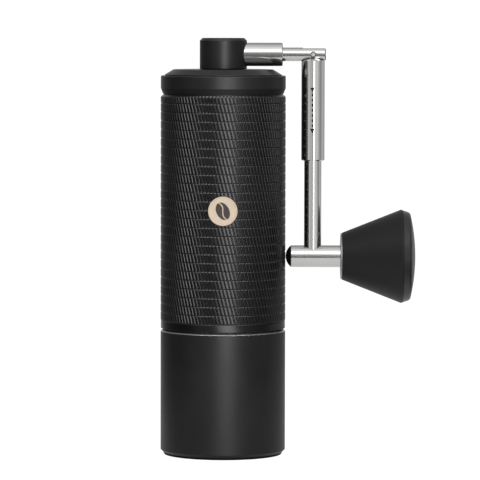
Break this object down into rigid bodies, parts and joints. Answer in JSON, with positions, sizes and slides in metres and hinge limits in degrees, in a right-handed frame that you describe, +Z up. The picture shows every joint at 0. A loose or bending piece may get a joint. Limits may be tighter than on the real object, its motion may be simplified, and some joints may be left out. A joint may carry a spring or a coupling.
{
  "type": "hand crank coffee grinder",
  "caption": "Slim hand grinder: knurled black barrel with conical burrs on a bearing-held shaft, screw-on grounds cup, lid, and a folding crank arm with a lock sleeve and cone knob.",
  "frame": {"origin": "centre of the base pad's underside", "axes": "+Z up along the barrel, +X towards the folded arm and knob, badge on -Y"},
  "size_m": [0.1081, 0.053, 0.1768],
  "materials": {
    "knurled_black": "black anodised, knurled",
    "satin_black": "black anodised, satin",
    "knob_black": "black, soft satin",
    "black_rubber": "matte",
    "polished_steel": "polished",
    "bearing_steel": "ground",
    "spring_steel": "dark, oiled",
    "burr_steel": "machined",
    "cast_aluminium": "fine blasted",
    "dark_metal": "dark anodised",
    "champagne": "satin champagne",
    "emblem_brown": "dark brown enamel",
    "natural_plastic": "natural acetal"
  },
  "bodies": {
    "barrel": {"barrel_shell": "knurled_black", "top_ring": "satin_black", "badge": "champagne", "badge_emblem": "emblem_brown", "bearing_bracket": "dark_metal", "upper_bearing_outer_race": "bearing_steel", "upper_bearing_balls": "bearing_steel", "burr_carrier": "cast_aluminium", "lower_bearing_outer_race": "bearing_steel", "lower_bearing_balls": "bearing_steel", "outer_burr": "burr_steel", "outer_burr_screws": "bearing_steel"},
    "lid": {"lid": "satin_black", "lid_bushing": "natural_plastic", "lid_seal": "black_rubber"},
    "crank": {"crank_hub": "satin_black", "crank_stub": "polished_steel", "hub_retaining_ring": "spring_steel", "hinge_pin": "polished_steel"},
    "arm": {"arm_rod": "polished_steel", "cross_tube": "polished_steel", "bumper": "black_rubber", "knob_axle": "polished_steel", "knob_end_washer": "bearing_steel", "knob_end_screw": "spring_steel", "sleeve_spring": "spring_steel"},
    "sleeve": {"lock_sleeve": "polished_steel"},
    "knob": {"knob_body": "knob_black", "knob_cap": "knob_black", "knob_face_washer": "polished_steel", "knob_bushings": "natural_plastic"},
    "shaft": {"drive_shaft": "bearing_steel", "upper_bearing_inner_race": "bearing_steel", "lower_bearing_inner_race": "bearing_steel", "shaft_retaining_ring": "spring_steel", "burr_spring": "spring_steel"},
    "inner_burr": {"inner_burr": "burr_steel", "click_plate": "bearing_steel"},
    "dial": {"adjusting_dial": "cast_aluminium", "click_balls": "bearing_steel", "click_springs": "spring_steel"},
    "cup": {"grounds_cup": "satin_black", "base_pad": "black_rubber"}
  },
  "joints": [
    {"name": "lid_lift", "type": "slide", "parent": "barrel", "child": "lid", "axis": [0, 0, 1], "range_m": [0, 0.04]},
    {"name": "crank_spin", "type": "hinge", "parent": "lid", "child": "crank", "pos_m": [0, 0, 0.156], "axis": [0, 0, 1], "continuous": true},
    {"name": "arm_fold", "type": "hinge", "parent": "crank", "child": "arm", "pos_m": [0.038, 0, 0.1699], "axis": [0, -1, 0], "range_deg": [0, 90]},
    {"name": "sleeve_draw", "type": "slide", "parent": "arm", "child": "sleeve", "axis": [0, 0, -1], "range_m": [0, 0.0082], "deforming": ["sleeve_spring"]},
    {"name": "knob_spin", "type": "hinge", "parent": "arm", "child": "knob", "pos_m": [0.06, 0, 0.0843], "axis": [1, 0, 0], "continuous": true},
    {"name": "shaft_spin", "type": "hinge", "parent": "barrel", "child": "shaft", "pos_m": [0, 0, 0.1], "axis": [0, 0, 1], "continuous": true},
    {"name": "burr_feed", "type": "slide", "parent": "shaft", "child": "inner_burr", "axis": [0, 0, -1], "range_m": [0, 0.00142], "deforming": ["burr_spring"]},
    {"name": "dial_turn", "type": "hinge", "parent": "inner_burr", "child": "dial", "pos_m": [0, 0, 0.04], "axis": [0, 0, 1], "range_deg": [0, 720]},
    {"name": "cup_drop", "type": "slide", "parent": "barrel", "child": "cup", "axis": [0, 0, -1], "range_m": [0, 0.05]}
  ],
  "couplings": [
    {"joint": "shaft_spin", "follows": "crank_spin", "ratio": 1},
    {"joint": "sleeve_draw", "follows": "arm_fold", "m_per_rad": 0.0052},
    {"joint": "burr_feed", "follows": "dial_turn", "m_per_rad": 0.00011141}
  ]
}
